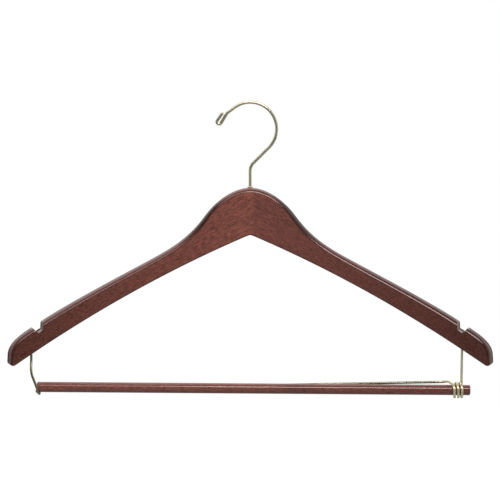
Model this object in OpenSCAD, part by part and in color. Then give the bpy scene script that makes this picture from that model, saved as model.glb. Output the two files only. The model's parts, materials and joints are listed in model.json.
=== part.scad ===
// Contoured wooden suit hanger: two shoulder arms glued at the neck, a brass swivel hook,
// and a wooden trouser bar held under the arms by one bent spring wire.
// Origin: the inside of the hook's crown, where a rail carries it. +X right, +Y back, +Z up.

/* [Shoulder arms] */
// Overall width from tip to tip
span = 432; // [400:1:470]
// Thickness of the curved wooden stock
stock_t = 14; // [13:0.5:18]
// Radius of the forward sweep, seen from above
plan_radius = 620; // [500:10:900]
// Radius of the round-over on the top and nose edges
edge_r = 4.5; // [2:0.25:5.5]
// Radius of the softened edges underneath
under_r = 1.5; // [0.5:0.25:3]
// Radius of the lower corner of each tip
tip_r = 3; // [2.5:0.25:4]

/* [Neck outline] */
// Height of the neck from its top to the underside apex
neck_h = 42; // [38:0.2:50]
// Distance from the centre to the steepest place of the neck
flank_x = 41; // [36:0.5:46]
// Fall from the neck top to that place
flank_fall = 25.7; // [22:0.1:29]
// Slope of the neck at that place, in degrees
flank_angle = 54; // [45:0.5:58]
// Distance from the centre to where the shoulder line starts
shoulder_x = 92; // [85:0.5:100]
// Fall from the neck top to the start of the shoulder line
shoulder_fall = 65.7; // [62:0.1:69]

/* [Shoulder outline] */
// Slope at the start of the shoulder line, in degrees
shoulder_angle = 28; // [26:0.5:30]
// Mean slope of the shoulder line, in degrees
shoulder_mean = 29.2; // [28:0.1:30.5]
// Slope where the shoulder line runs into the nose, in degrees
nose_angle = 34; // [31:0.5:38]
// Length of the rounded nose, measured across
nose_len = 16; // [12:0.5:20]
// Fall of the nose from its start to the end face
nose_fall = 21.5; // [18:0.5:22]
// Slope of the underside beside the apex, in degrees
under_angle = 23; // [20:0.25:24]
// Radius of the long arch of the underside
under_radius = 1300; // [1000:5:1400]
// How far the apex of the underside is softened
apex_soft = 0.8; // [0.4:0.1:4]

/* [Strap notches] */
// Distance from each tip to the middle of its notch
notch_from_tip = 25.4; // [22:0.2:40]
// Width of a notch
notch_w = 7; // [5:0.25:9]
// Depth of a notch below the shoulder line
notch_depth = 7.2; // [4:0.2:8]
// How far the outer wall of a notch leans out, in degrees
notch_lean = 30; // [0:1:40]

/* [Neck joint] */
// Length of the glued fingers
finger_len = 6; // [4:0.5:9]
// Number of fingers through the thickness, an even number
finger_count = 4; // [2:2:4]

/* [Hook] */
// Diameter of the hook wire
hook_d = 2.8; // [2.4:0.1:3.2]
// Radius of the hook's crown at the middle of the wire
crown_r = 23.7; // [20:0.1:30]
// Height from the neck top to the inside of the crown
hook_reach = 75.5; // [70:0.5:95]
// Radius of the bend above the stem
stem_bend_r = 9; // [6:0.5:12]
// Angle at which the crown runs out into the straight tip, in degrees
crown_end = 127; // [115:1:132]
// Length of the straight run after the crown
tip_run = 7; // [5:0.5:10]
// Radius of the bend that turns the tip down
tip_bend_r = 6; // [4:0.5:10]
// How far that bend turns, in degrees
tip_bend = 22; // [15:1:35]
// Length of the last run before the fold
tip_drop = 9; // [6:0.5:11]
// Radius of the fold at the tip, at the middle of the wire
fold_r = 2.05; // [1.7:0.05:2.6]
// How far the fold turns, in degrees
fold_turn = 184; // [180:1:185]
// Length of the wire folded back
fold_len = 7.5; // [5:0.5:9]

/* [Swivel] */
// Outside diameter of the ferrule
ferrule_d = 4; // [3.8:0.1:4.4]
// Length of the ferrule below its collar
ferrule_len = 12; // [8:0.5:16]
// Diameter of the ferrule's collar
collar_d = 4.8; // [4.6:0.1:6.5]
// Height of the collar
collar_h = 1.5; // [1.2:0.1:3]
// Depth of the flat seat cut for the collar
collar_seat = 0.3; // [0.2:0.05:0.6]
// Diameter of the recess drilled up from the underside
recess_d = 9.8; // [9.7:0.1:10.5]
// Depth of that recess
recess_depth = 14; // [10:0.5:18]
// Diameter of the washer in the recess
washer_d = 9.2; // [8.2:0.1:9.4]
// Thickness of the washer
washer_t = 1; // [0.6:0.1:1.6]
// Diameter of the head on the lower end of the hook
head_d = 6; // [5:0.1:7]
// Height of that head
head_h = 2.2; // [1.6:0.1:3]

/* [Trouser bar] */
// Diameter of the bar
bar_d = 9.2; // [8:0.1:10]
// Length of the bar
bar_len = 386.6; // [375:0.2:390]
// Height of the bar's axis below the hook's crown, at the left end
bar_drop = 251.3; // [250:0.1:258]
// How much lower the bar's axis is at the coil
bar_lean = 2.8; // [0:0.1:5]
// How far the bar reaches past the middle of the coil
bar_past_coil = 11.2; // [8:0.2:14]
// Radius of the eased ends of the bar
bar_end_r = 1.2; // [0.5:0.1:2.5]

/* [Stirrup wire] */
// Diameter of the stirrup wire
wire_d = 2.2; // [1.8:0.1:2.4]
// Distance from the centre to the left leg
left_leg_x = 195; // [190:0.5:198]
// Distance from the centre to the right leg
right_leg_x = 188.8; // [184:0.2:194]
// Depth of the holes for the legs
leg_depth = 12; // [8:0.5:14]
// Distance between neighbouring turns of the coil
coil_pitch = 3.4; // [2.8:0.05:3.6]
// Turns of the coil between its first and last front strands
coil_strands = 2; // [1:1:3]
// Radius of the bends in the wire
wire_bend_r = 2.4; // [2.2:0.1:3]
// Radius of the easy bends in the left leg
knee_r = 16; // [8:1:18]

/* [Clearances] */
// Running clearance round the hook's stem in the ferrule
stem_clear = 0.05; // [0.02:0.01:0.1]
// Clearance of pieces that are pressed or glued into the wood
seat_clear = 0.02; // [0.01:0.01:0.1]
// Clearance of the wire legs in their holes
leg_clear = 0.05; // [0.02:0.01:0.15]
// Clearance between the hook's head and its washer
head_clear = 0.1; // [0.05:0.05:0.3]
// Clearance of the cradle under the bar
cradle_clear = 0.35; // [0.3:0.05:0.6]
// Clearance of the coil round the bar, which lets the bar swing up
coil_clear = 0.65; // [0.55:0.05:0.8]

/* [Hidden] */
$fn = 64;
arm_colour = [0.36, 0.2, 0.17];
bar_colour = [0.45, 0.24, 0.19];
brass_colour = [0.78, 0.66, 0.38];
liner_colour = [0.7, 0.56, 0.32];
over = 1; // how far cutters run past a face
stem_play = 0.2; // space round the stem in the wood, below the ferrule
wire_lap = 1; // how far a bent stretch of wire starts inside its straight one
wire_slim = 0.02; // how much slimmer the bent stretch is, so that the straight one encloses its end

// Heights of the neck, in the hook's frame
neck_top = -hook_reach;
apex_z = neck_top - neck_h;
recess_top = apex_z + recess_depth;

// Shoulder line: joints between its four curves, with the lengths of their handles
crown_handle = 14;
flank_in = 19;
flank_out = 25;
shoulder_in = 23;
shoulder_out = 36;
nose_in = 36;
nose_out = 10;
end_in = 9.5;
// The tip's back edge swings a little further out than the middle of the stock, up to half the span
tip_x = span / 2 * plan_radius / (plan_radius + stock_t / 2 - tip_r);
nose_x = tip_x - nose_len;
nose_start_fall = shoulder_fall + (nose_x - shoulder_x) * tan(shoulder_mean);
end_fall = nose_start_fall + nose_fall;

function run_of(angle, length) = length * [cos(angle), -sin(angle)];
function bezier(p, q, r, s, t) =
    pow(1 - t, 3) * p + 3 * t * pow(1 - t, 2) * q + 3 * t * t * (1 - t) * r + t * t * t * s;
function curve(p, pa, pl, s, sa, sl, steps) =
    [for (i = [1:steps]) bezier(p, p + run_of(pa, pl), s - run_of(sa, sl), s, i / steps)];

neck_point = [0, neck_top];
flank_point = [flank_x, neck_top - flank_fall];
shoulder_point = [shoulder_x, neck_top - shoulder_fall];
nose_point = [nose_x, neck_top - nose_start_fall];
end_point = [tip_x, neck_top - end_fall];

neck_steps = 10;
flank_steps = 8;
shoulder_steps = 9;
nose_steps = 9;
corner_steps = 6;
top_neck = curve(neck_point, 0, crown_handle, flank_point, flank_angle, flank_in, neck_steps);
top_flank = curve(flank_point, flank_angle, flank_out, shoulder_point, shoulder_angle, shoulder_in,
                  flank_steps);
top_shoulder = curve(shoulder_point, shoulder_angle, shoulder_out, nose_point, nose_angle, nose_in,
                     shoulder_steps);
top_nose = curve(nose_point, nose_angle, nose_out, end_point, 90, end_in, nose_steps);

// Underside: one long arc whose centre lies below, softened at the apex
arch_x = -under_radius * sin(under_angle);
function arch_rise(x, r) = sqrt(r * r - pow(x - arch_x, 2));
arch_z = apex_z - arch_rise(apex_soft, under_radius);
function under_z(x) = arch_z + arch_rise(sqrt(x * x + apex_soft * apex_soft), under_radius);
corner_x = tip_x - tip_r;
corner = [corner_x, arch_z + arch_rise(corner_x, under_radius + tip_r)];
corner_slope = asin((corner_x - arch_x) / (under_radius + tip_r));
corner_start_x = corner_x - tip_r * sin(corner_slope);

// The blank of one arm reaches past the centre line by the length of its fingers
blank_reach = finger_len / 2 + over;
top_line = concat([[-blank_reach, top_at(blank_reach)], neck_point], top_neck, top_flank,
                  top_shoulder, top_nose);
function top_at(x) = lookup(x, concat([neck_point], top_neck));
under_nose_steps = nose_steps - corner_steps;
under_line = concat(
    [for (i = [0:len(top_line) - nose_steps - 1]) [top_line[i][0], under_z(abs(top_line[i][0]))]],
    [for (i = [1:under_nose_steps])
        let (x = nose_x + (corner_start_x - nose_x) * i / under_nose_steps) [x, under_z(x)]],
    [for (i = [1:corner_steps])
        let (a = 270 - corner_slope + (90 + corner_slope) * i / corner_steps)
        corner + tip_r * [cos(a), sin(a)]]);
stations = len(top_line);

// Inward direction of the round-over at each station: straight up or down along the shoulder,
// turning to the true normal round the nose
function slope_at(line, i) =
    let (a = line[max(i - 1, 0)], b = line[min(i + 1, stations - 1)]) atan2(b[1] - a[1], b[0] - a[0]);
function nose_share(i) = max(0, (i - (stations - nose_steps - 1)) / nose_steps);
function inward(line, i, side) =
    let (a = slope_at(line, i), s = min(1, 2 * nose_share(i)),
         plumb = [0, -side / cos(min(abs(a), 70))], normal = side * [sin(a), -cos(a)])
    (1 - s) * plumb + s * normal;
function under_round(i) = under_r + (0.95 * tip_r - under_r) * nose_share(i);

// Cross-section of one station: each edge is a quarter round of a few steps
round_steps = 5;
function layer_angle(k) = k <= round_steps ? 90 * (1 - k / round_steps)
                                           : -90 * (k - round_steps - 1) / round_steps;
layers = 2 * (round_steps + 1);
function depth_at(r, k) =
    let (a = layer_angle(k)) (k <= round_steps ? -1 : 1) * (stock_t / 2 - r + r * sin(abs(a)));
function inset_at(r, k) = r * (1 - cos(layer_angle(k)));

// The plan sweep: a point of the flat outline, set on the arc at a depth through the stock
function sweep_y(x) = sqrt(plan_radius * plan_radius - x * x) - plan_radius;
function swept(p, w) =
    [p[0] + w * p[0] / plan_radius, sweep_y(p[0]) + w * (1 + sweep_y(p[0]) / plan_radius), p[1]];
function edge_points(line, i, side, r) =
    [for (k = [0:layers - 1])
        swept(line[i] + inset_at(r, k) * inward(line, i, side), depth_at(r, k))];
function reversed(list) = [for (i = [len(list) - 1:-1:0]) list[i]];
function section(i) = concat(edge_points(under_line, i, -1, under_round(i)),
                             reversed(edge_points(top_line, i, 1, edge_r)));

// A closed skin over rings of equal length: sides as triangle pairs, ends given separately
function skin(rings, ring) =
    [for (i = [0:rings - 2]) for (k = [0:ring - 1]) for (half = [0, 1])
        let (a = i * ring + k, b = i * ring + (k + 1) % ring)
        half == 0 ? [a, b + ring, b] : [a, a + ring, b + ring]];

// One arm before it is cut: +X side, from the fingers to the tip
module arm_blank() {
    ring = 2 * layers;
    last = (stations - 1) * ring;
    tip_face = [for (k = [0:layers - 2]) for (half = [0, 1])
        let (a = last + k, b = last + k + 1, c = last + ring - 2 - k, d = last + ring - 1 - k)
        half == 0 ? [a, c, b] : [a, d, c]];
    polyhedron([for (i = [0:stations - 1]) each section(i)],
               concat([[for (k = [0:ring - 1]) k]], skin(stations, ring), tip_face));
}

// The glue joint: fingers stacked through the thickness take turns to cross the centre line
finger_w = stock_t / finger_count;
module finger_cut(first) {
    reach = 2 * blank_reach;
    for (f = [0:finger_count - 1]) {
        edge = f % 2 == first ? -finger_len / 2 : finger_len / 2;
        low = f == 0 ? -stock_t : f * finger_w - stock_t / 2;
        high = f == finger_count - 1 ? stock_t : (f + 1) * finger_w - stock_t / 2;
        translate([edge - reach, low, apex_z - neck_h])
            cube([reach, high - low, 3 * neck_h]);
    }
}

// Strap notch: a round-floored slot cut square to the local face of the arm, with its inner wall upright
// and its outer wall leaning out
notch_x = tip_x - notch_from_tip;
notch_line_z = lookup(notch_x, top_shoulder);
module notch_cut() {
    floor_z = notch_line_z - notch_depth + notch_w / 2;
    translate([notch_x, sweep_y(notch_x), floor_z])
        rotate([0, 0, -asin(notch_x / plan_radius)]) {
            rotate([90, 0, 0]) cylinder(d = notch_w, h = 2 * stock_t, center = true);
            for (lean = [0, notch_lean]) rotate([0, lean, 0])
                translate([-notch_w / 2, -stock_t, 0]) cube([notch_w, 2 * stock_t, 4 * notch_depth]);
        }
}

// Bores of the neck, all on the swivel axis
module neck_bores() {
    translate([0, 0, recess_top - over]) cylinder(d = hook_d + 2 * stem_play, h = neck_h);
    translate([0, 0, neck_top - collar_seat - ferrule_len])
        cylinder(d = ferrule_d + 2 * seat_clear, h = neck_h);
    translate([0, 0, neck_top - collar_seat]) cylinder(d = collar_d + 2 * seat_clear, h = neck_h);
    translate([0, 0, recess_top - neck_h]) cylinder(d = recess_d, h = neck_h);
}

// Hole for one leg of the stirrup wire, drilled straight up from the underside
leg_mouth = wire_d * 2; // how far the drill's path starts below the slanting underside
module leg_hole(x) {
    translate([x, sweep_y(x), under_z(x) - leg_mouth])
        cylinder(d = wire_d + 2 * leg_clear, h = leg_depth + leg_mouth);
}

module arm(leg_x, first) {
    difference() {
        arm_blank();
        finger_cut(first);
        neck_bores();
        notch_cut();
        leg_hole(leg_x);
    }
}

module right_arm() {
    color(arm_colour) arm(right_leg_x, 1);
}

module left_arm() {
    color(arm_colour) mirror([1, 0, 0]) arm(left_leg_x, 0);
}

// Hook: straight runs and bends of one wire in the XZ plane, walked from the stem to the tip
crown = [0, hook_d / 2 - crown_r];
crown_start = -45;
function on_circle(c, r, a) = c + r * [cos(a), sin(a)];
diag_end = on_circle(crown, crown_r, crown_start);
stem_bend_end_x = stem_bend_r * (1 - cos(crown_start));
stem_bend_z = diag_end[1] - (diag_end[0] - stem_bend_end_x) + stem_bend_r * sin(crown_start);
stem_bend_c = [stem_bend_r, stem_bend_z];
run_start = on_circle(crown, crown_r, crown_end);
run_end = run_start + tip_run * [cos(crown_end + 90), sin(crown_end + 90)];
tip_bend_c = on_circle(run_end, -tip_bend_r, crown_end);
drop_angle = crown_end + tip_bend;
drop_start = on_circle(tip_bend_c, tip_bend_r, drop_angle);
drop_end = drop_start + tip_drop * [cos(drop_angle + 90), sin(drop_angle + 90)];
fold_c = on_circle(drop_end, fold_r, drop_angle);
fold_end_angle = drop_angle + 180 - fold_turn;
fold_end = on_circle(fold_c, fold_r, fold_end_angle);
fold_tip = fold_end + fold_len * [cos(fold_end_angle - 90), sin(fold_end_angle - 90)];
function arc(c, r, from, to, steps) =
    [for (i = [0:steps]) on_circle(c, r, from + (to - from) * i / steps)];
hook_path = [for (p = concat([[0, stem_bend_z - wire_lap]],
                             arc(stem_bend_c, stem_bend_r, 180, 180 + crown_start, 6),
                             arc(crown, crown_r, crown_start, crown_end, 28),
                             arc(tip_bend_c, tip_bend_r, crown_end, drop_angle, 5),
                             arc(fold_c, fold_r, drop_angle + 180, fold_end_angle, 12),
                             [fold_tip])) [p[0], 0, p[1]]];
hook_sides = 14;

// The stem ends in a peened head that turns on the washer
head_top = recess_top - washer_t - head_clear;
module hook_head() {
    translate([0, 0, head_top - head_h]) rotate_extrude()
        polygon([[0, 0], [head_d / 2 - head_h / 2, 0], [head_d / 2, head_h / 2], [head_d / 2, head_h],
                 [0, head_h]]);
}

module swivel_hook() {
    stem_foot = head_top - head_h / 2;
    color(brass_colour) union() {
        hook_head();
        translate([0, 0, stem_foot]) cylinder(d = hook_d, h = stem_bend_z - wire_lap / 2 - stem_foot);
        wire_sweep(hook_path, hook_d - wire_slim, hook_sides, 3);
    }
}

// Ferrule: a turned liner with a rounded collar on top of the neck
module hook_ferrule() {
    bore = hook_d / 2 + stem_clear;
    round = (collar_d / 2 - bore) / 2;
    color(liner_colour) translate([0, 0, neck_top - collar_seat]) rotate_extrude() union() {
        translate([bore, -ferrule_len]) square([ferrule_d / 2 - bore, ferrule_len]);
        translate([bore, 0]) square([collar_d / 2 - bore, collar_h - round]);
        translate([bore + round, collar_h - round]) circle(r = round);
    }
}

module hook_washer() {
    color(liner_colour) translate([0, 0, recess_top - washer_t]) difference() {
        cylinder(d = washer_d, h = washer_t);
        translate([0, 0, -over]) cylinder(d = hook_d + 2 * head_clear, h = washer_t + 2 * over);
    }
}

// Trouser bar: its axis runs from the cradle on the left to the coil on the right, under the arms
cradle_off = bar_d / 2 + cradle_clear + wire_d / 2; // from the bar's axis to the middle of the wire
coil_off = bar_d / 2 + coil_clear + wire_d / 2;
leg_y = [sweep_y(left_leg_x), sweep_y(right_leg_x)];
bar_y = (leg_y[0] + leg_y[1]) / 2;
coil_lead = 0.3; // from the last front strand of the coil to the right leg
coil_x = right_leg_x - coil_lead - coil_pitch * coil_strands / 2;
bar_right = coil_x + bar_past_coil;
bar_left = bar_right - bar_len;
bar_tilt = asin(bar_lean / (coil_x - bar_left));
coil_z = -bar_drop - bar_lean;
function bar_z(x) = coil_z + (coil_x - x) * tan(bar_tilt);

module trouser_bar() {
    color(bar_colour) translate([coil_x, bar_y, coil_z]) rotate([0, 90 + bar_tilt, 0])
        translate([0, 0, bar_past_coil - bar_len]) rotate_extrude() union() {
            translate([0, bar_end_r]) square([bar_d / 2, bar_len - 2 * bar_end_r]);
            square([bar_d / 2 - bar_end_r, bar_len]);
            for (z = [bar_end_r, bar_len - bar_end_r])
                translate([bar_d / 2 - bar_end_r, z]) circle(r = bar_end_r);
        }
}

// Stirrup wire: leg, cradle under the bar, straight lock wire behind it, coil round it, leg
wire_sides = 10;
bend_steps = 5;
cradle_steps = 10;
coil_steps = 20; // steps in one turn
leg_drop = 6; // straight length of a leg before it leans towards the bar
knee_up = 14; // height of the knee above the bar's axis
cradle_in = 0.5; // from the bar's left end to where the wire crosses its front
cradle_swing = 1.5; // how much further in it passes under the bar
heel_out = 5.8; // how far the heel's corner stands past the bar's left end
cradle_leave = 110; // how far the cradle wraps round the bar, in degrees
heel_run = 5.8; // from the cradle to the corner of the heel
coil_from = 25; // where the coil starts, in degrees past the top
coil_leave = 279; // where it leaves its last turn for the right leg, in the same way
strand_gap = 0.1; // between the last strand at the back of the coil and the one before it
lock_back = 5.9; // the lock wire's place behind the bar's axis, near the coil
lock_up = 6.3; // and above it
lock_lead = 9.4; // where it starts to bend over the bar, before the first front strand
lift_back = 1.5; // the same for the top of that bend
lift_up = 7.7;
lift_lead = 4.9;
function unit(v) = v / norm(v);

// Points of a bend of the given radius at corner b, on the way from a to c
function bend(a, b, c, r) =
    let (u = unit(a - b), v = unit(c - b), half = acos(u * v) / 2, mid = unit(u + v),
         centre = b + mid * r / sin(half), turn = 180 - 2 * half, side = unit(v - u))
    [for (i = [0:bend_steps])
        let (g = turn * (i / bend_steps - 0.5)) centre - r * cos(g) * mid + r * sin(g) * side];

leg_tops = [[-left_leg_x, leg_y[0], under_z(left_leg_x)],
            [right_leg_x, leg_y[1], under_z(right_leg_x)]];
left_knee = leg_tops[0] - [0, 0, leg_drop];
right_knee = leg_tops[1] - [0, 0, leg_drop];
cradle_knee = [-left_leg_x, bar_y - cradle_off, bar_z(bar_left) + knee_up];
function cradle_at(g) =
    let (x = bar_left + cradle_in + cradle_swing * sin(g))
    [x, bar_y - cradle_off * cos(g), bar_z(x) - cradle_off * sin(g)];
cradle_end = cradle_at(cradle_leave);
heel = [bar_left - heel_out, cradle_end[1] + heel_run * sin(cradle_leave),
        cradle_end[2] - heel_run * cos(cradle_leave)];
coil_first = coil_x - coil_pitch * coil_strands / 2;
coil_to = 360 * coil_strands + coil_leave;
coil_rings = ceil((coil_to - coil_from) * coil_steps / 360);
// After its last front strand the wire closes up to the strand beside it at the back
coil_last = 360 * coil_strands + 90;
coil_close = wire_d + strand_gap - coil_pitch * (360 - coil_to + coil_last) / 360;
function coil_along(g) = coil_pitch * (min(g, coil_last) - 90) / 360
                         + coil_close * max(0, g - coil_last) / (coil_to - coil_last);
function coil_at(g) =
    [coil_first + coil_along(g), bar_y - coil_off * sin(g), coil_z + coil_off * cos(g)];
lock_end = [coil_first - lock_lead, bar_y + lock_back, coil_z + lock_up];
lock_over = [coil_first - lift_lead, bar_y + lift_back, coil_z + lift_up];
wire_path = concat(
    [leg_tops[0]],
    bend(leg_tops[0], left_knee, cradle_knee, knee_r),
    bend(left_knee, cradle_knee, cradle_at(0), knee_r),
    [for (i = [0:cradle_steps]) cradle_at(cradle_leave * i / cradle_steps)],
    bend(cradle_end, heel, lock_end, wire_bend_r),
    bend(heel, lock_end, lock_over, wire_bend_r),
    bend(lock_end, lock_over, coil_at(coil_from), wire_bend_r),
    [for (i = [0:coil_rings]) coil_at(coil_from + (coil_to - coil_from) * i / coil_rings)],
    bend(coil_at(coil_to), right_knee, leg_tops[1], wire_bend_r),
    [leg_tops[1]]);

// Sweep of a round wire along a path: each frame is the last one turned as little as possible.
// The far end is rounded off in a few rings where dome_steps is above 0.
function heading(path, i) =
    unit(path[min(i + 1, len(path) - 1)] - path[max(i - 1, 0)]);
function carried(v, t) = unit(v - (v * t) * t);
function frames(path, i, v) =
    i == len(path) ? []
    : let (n = carried(v, heading(path, i))) concat([n], frames(path, i + 1, n));
function ring_at(p, t, n, r, sides) =
    [for (k = [0:sides - 1]) let (a = 360 * k / sides) p + r * (cos(a) * n + sin(a) * cross(t, n))];
module wire_sweep(path, d, sides, dome_steps) {
    normals = frames(path, 0, [1, 0, 0]);
    last = len(path) - 1;
    body = [for (i = [0:last]) each ring_at(path[i], heading(path, i), normals[i], d / 2, sides)];
    dome = [for (j = [1:1:dome_steps])
        let (a = 75 * j / dome_steps, t = heading(path, last))
        each ring_at(path[last] + d / 2 * sin(a) * t, t, normals[last], d / 2 * cos(a), sides)];
    rings = last + 1 + dome_steps;
    foot = [for (k = [0:sides - 1]) k];
    polyhedron(concat(body, dome),
               concat([foot], skin(rings, sides), [reversed([for (k = foot) (rings - 1) * sides + k])]));
}

module stirrup_wire() {
    color(brass_colour) union() {
        wire_sweep(wire_path, wire_d - wire_slim, wire_sides, 0);
        for (top = leg_tops) translate(top - [0, 0, wire_lap])
            cylinder(d = wire_d, h = leg_depth + wire_lap - leg_clear);
    }
}

left_arm();
right_arm();
swivel_hook();
hook_ferrule();
hook_washer();
stirrup_wire();
trouser_bar();
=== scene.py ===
# %% [markdown]
# # A wooden suit hanger
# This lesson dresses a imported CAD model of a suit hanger: two lacquered arms glued at the neck, a
# polished brass hook that swivels, and a wooden trouser bar held by one bent spring wire.
# The CAD model is loaded as a fixed frame. Every piece made below is in metres, in the same frame:
# the origin is the inside of the hook's crown, +X is right, +Y is back and +Z is up.

# %% Load the fixed frame
import json
import math

import bmesh
import bpy
import numpy as np
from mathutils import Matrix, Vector


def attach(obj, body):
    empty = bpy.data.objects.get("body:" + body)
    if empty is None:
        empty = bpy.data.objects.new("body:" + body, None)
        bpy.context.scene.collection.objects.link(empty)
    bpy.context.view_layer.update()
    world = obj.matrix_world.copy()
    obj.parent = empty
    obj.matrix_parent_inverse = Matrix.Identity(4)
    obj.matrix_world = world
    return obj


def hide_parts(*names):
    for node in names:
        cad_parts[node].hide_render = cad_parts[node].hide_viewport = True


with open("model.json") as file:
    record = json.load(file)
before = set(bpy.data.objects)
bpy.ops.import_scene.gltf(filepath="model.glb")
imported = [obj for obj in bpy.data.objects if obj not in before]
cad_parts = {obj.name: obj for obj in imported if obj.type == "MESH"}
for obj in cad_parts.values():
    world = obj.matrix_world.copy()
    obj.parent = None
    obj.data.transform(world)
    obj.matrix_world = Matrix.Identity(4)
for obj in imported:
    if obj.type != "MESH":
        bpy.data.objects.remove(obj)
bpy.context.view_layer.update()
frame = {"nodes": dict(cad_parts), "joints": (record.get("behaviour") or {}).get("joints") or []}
MM = 0.001
print("CAD nodes:", sorted(frame["nodes"]))

# %% [markdown]
# ## Camera
# The photograph looks at the hanger almost square on, from a little above, through a long lens. A long
# lens far away keeps the two arms nearly the same size, which a short lens close by would not.

# %% Camera at the photograph's angle
IMAGE_PX = 500
FOCAL_PX = 1901
CAMERA_RANGE = 1.7
CAMERA_RISE = math.radians(6)
LOOK_AT = Vector((-0.2, -15, -130)) * MM

camera_data = bpy.data.cameras.new("camera")
camera_data.lens = camera_data.sensor_width * FOCAL_PX / IMAGE_PX
camera = bpy.data.objects.new("camera", camera_data)
bpy.context.scene.collection.objects.link(camera)
towards_camera = Vector((0, -math.cos(CAMERA_RISE), math.sin(CAMERA_RISE)))
camera.location = LOOK_AT + CAMERA_RANGE * towards_camera
camera.rotation_euler = (-towards_camera).to_track_quat("-Z", "Y").to_euler()
bpy.context.scene.camera = camera
print("lens", round(camera_data.lens, 1), "mm")

# %% [markdown]
# ## Helpers for node trees
# Materials, the world and the wire maker are all node trees. Nodes could be added one call at a time,
# but then the wiring hides the idea. One small function adds a node, sets its options and either sets
# or links each input, and a few more name the sums that come up again and again.

# %% Helper that places a node
def place(tree, kind, inputs=None, **options):
    """Adds a node. An input given as a socket is linked, any other value is set on the node."""
    node = tree.nodes.new(kind)
    for name, value in options.items():
        setattr(node, name, value)
    for name, value in (inputs or {}).items():
        if isinstance(value, bpy.types.NodeSocket):
            tree.links.new(value, node.inputs[name])
        else:
            node.inputs[name].default_value = value
    return node


def blank_material(name):
    """A material with an empty node tree and its output node."""
    material = bpy.data.materials.new(name)
    material.use_nodes = True
    material.node_tree.nodes.clear()
    output = place(material.node_tree, "ShaderNodeOutputMaterial")
    return material, material.node_tree, output


# %% Helpers that name common sums
def sums(tree, operation, *values):
    """The result of a Math node."""
    return place(tree, "ShaderNodeMath", dict(enumerate(values)), operation=operation).outputs[0]


def along(tree, vector, way):
    """How far a vector goes along a way: their dot product."""
    dot = place(tree, "ShaderNodeVectorMath", {0: vector, 1: way}, operation="DOT_PRODUCT")
    return dot.outputs["Value"]


def fade(tree, value, low, high, start, end, shape="LINEAR"):
    """Goes from start to end as the value goes from low to high, and stays there beyond."""
    step = place(tree, "ShaderNodeMapRange", {
        "Value": value, "From Min": low, "From Max": high, "To Min": start, "To Max": end},
        interpolation_type=shape)
    return step.outputs[0]


# %% Helpers for ramps of colour
def ramp(tree, value, stops):
    """A colour for each value, from stops of position and colour in rising order."""
    node = place(tree, "ShaderNodeValToRGB", {0: value})
    marks = node.color_ramp.elements
    for mark, (at, colour) in zip(marks, (stops[0], stops[-1])):
        mark.position = at
        mark.color = (*colour, 1)
    for at, colour in stops[1:-1]:
        marks.new(at).color = (*colour, 1)
    return node.outputs[0]


def greys(levels):
    """Stops of a ramp, from pairs of position and grey level."""
    return [(at, (level, level, level)) for at, level in levels]


# %% [markdown]
# ## Studio
# The background is white, yet the wood is dark and keeps its depth, so the white must not light the
# front. A white dome could not do both. The world therefore answers by kind of ray: white to the camera,
# a soft grey, strongest from the front left, to diffuse light, and a dim room to reflections, with light
# high behind the hanger, bright walls at its sides and a faint glow in front. The pale floor lies far
# below and throws little light back. It is clear from underneath, so that the hanger shows from there.

# %% World: soft light
BACK_RIGHT = (0.35, 0.93, 0)
SOFT_FRONT = 0.75
SOFT_BACK = 0.33

world = bpy.data.worlds.new("studio")
bpy.context.scene.world = world
world.use_nodes = True
tree = world.node_tree
tree.nodes.clear()
direction = place(tree, "ShaderNodeTexCoord").outputs["Generated"]
soft = fade(tree, along(tree, direction, BACK_RIGHT), -1, 1, SOFT_FRONT, SOFT_BACK)
print("soft light from", SOFT_FRONT, "at the front left to", SOFT_BACK, "at the back right")

# %% World: the room that reflections show
HIGH_BEHIND = (-0.2, 0.68, 0.7)
ROOM_LEVELS = [(0, 0.1), (0.62, 0.1), (0.8, 0.4), (0.95, 0.8)]
HORIZON = (-0.1, 0.4)
HORIZON_LEVEL = 0.15
IN_FRONT = (0, -0.995, -0.1)
FRONT_EDGE = (0.8, 0.97)
FRONT_LEVEL = 0.15
WALL_EDGE = (0.6, 0.9)
WALL_LEVEL = 0.8
WALL_SHIFT = 0.1

behind = fade(tree, along(tree, direction, HIGH_BEHIND), -1, 1, 0, 1)
room = ramp(tree, behind, greys(ROOM_LEVELS))
parts = place(tree, "ShaderNodeSeparateXYZ", {0: direction}).outputs
horizon = fade(tree, parts["Z"], *HORIZON, HORIZON_LEVEL, 1, "SMOOTHSTEP")
sky = sums(tree, "MULTIPLY", room, horizon)
front = fade(tree, along(tree, direction, IN_FRONT), *FRONT_EDGE, 0, FRONT_LEVEL, "SMOOTHSTEP")
sideways = sums(tree, "ABSOLUTE", sums(tree, "ADD", parts["X"], WALL_SHIFT))
walls = fade(tree, sideways, *WALL_EDGE, 0, WALL_LEVEL, "SMOOTHSTEP")
reflected = sums(tree, "ADD", sky, sums(tree, "ADD", front, walls))
print("room up to", ROOM_LEVELS[-1][1], "behind and", WALL_LEVEL, "at the walls")

# %% World: by kind of ray
WHITE = (1, 1, 1, 1)
rays = place(tree, "ShaderNodeLightPath").outputs
mirrored = sums(tree, "MAXIMUM", rays["Is Glossy Ray"], rays["Is Transmission Ray"])
lit = place(tree, "ShaderNodeMix", {"Factor": mirrored, "A": soft, "B": reflected})
seen = place(tree, "ShaderNodeMix", {"Factor": rays["Is Camera Ray"], "A": lit.outputs[0], "B": 1.0})
glow = place(tree, "ShaderNodeBackground", {"Color": WHITE, "Strength": seen.outputs[0]})
place(tree, "ShaderNodeOutputWorld", {"Surface": glow.outputs[0]})
print("world with", len(tree.nodes), "nodes")

# %% Floor
FLOOR_Z = -0.75
FLOOR_HALF = 2.5
FLOOR_GREY = 0.82
FLOOR_BOUNCE = 0.4
FLOOR_LIFT = 0.66

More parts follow.
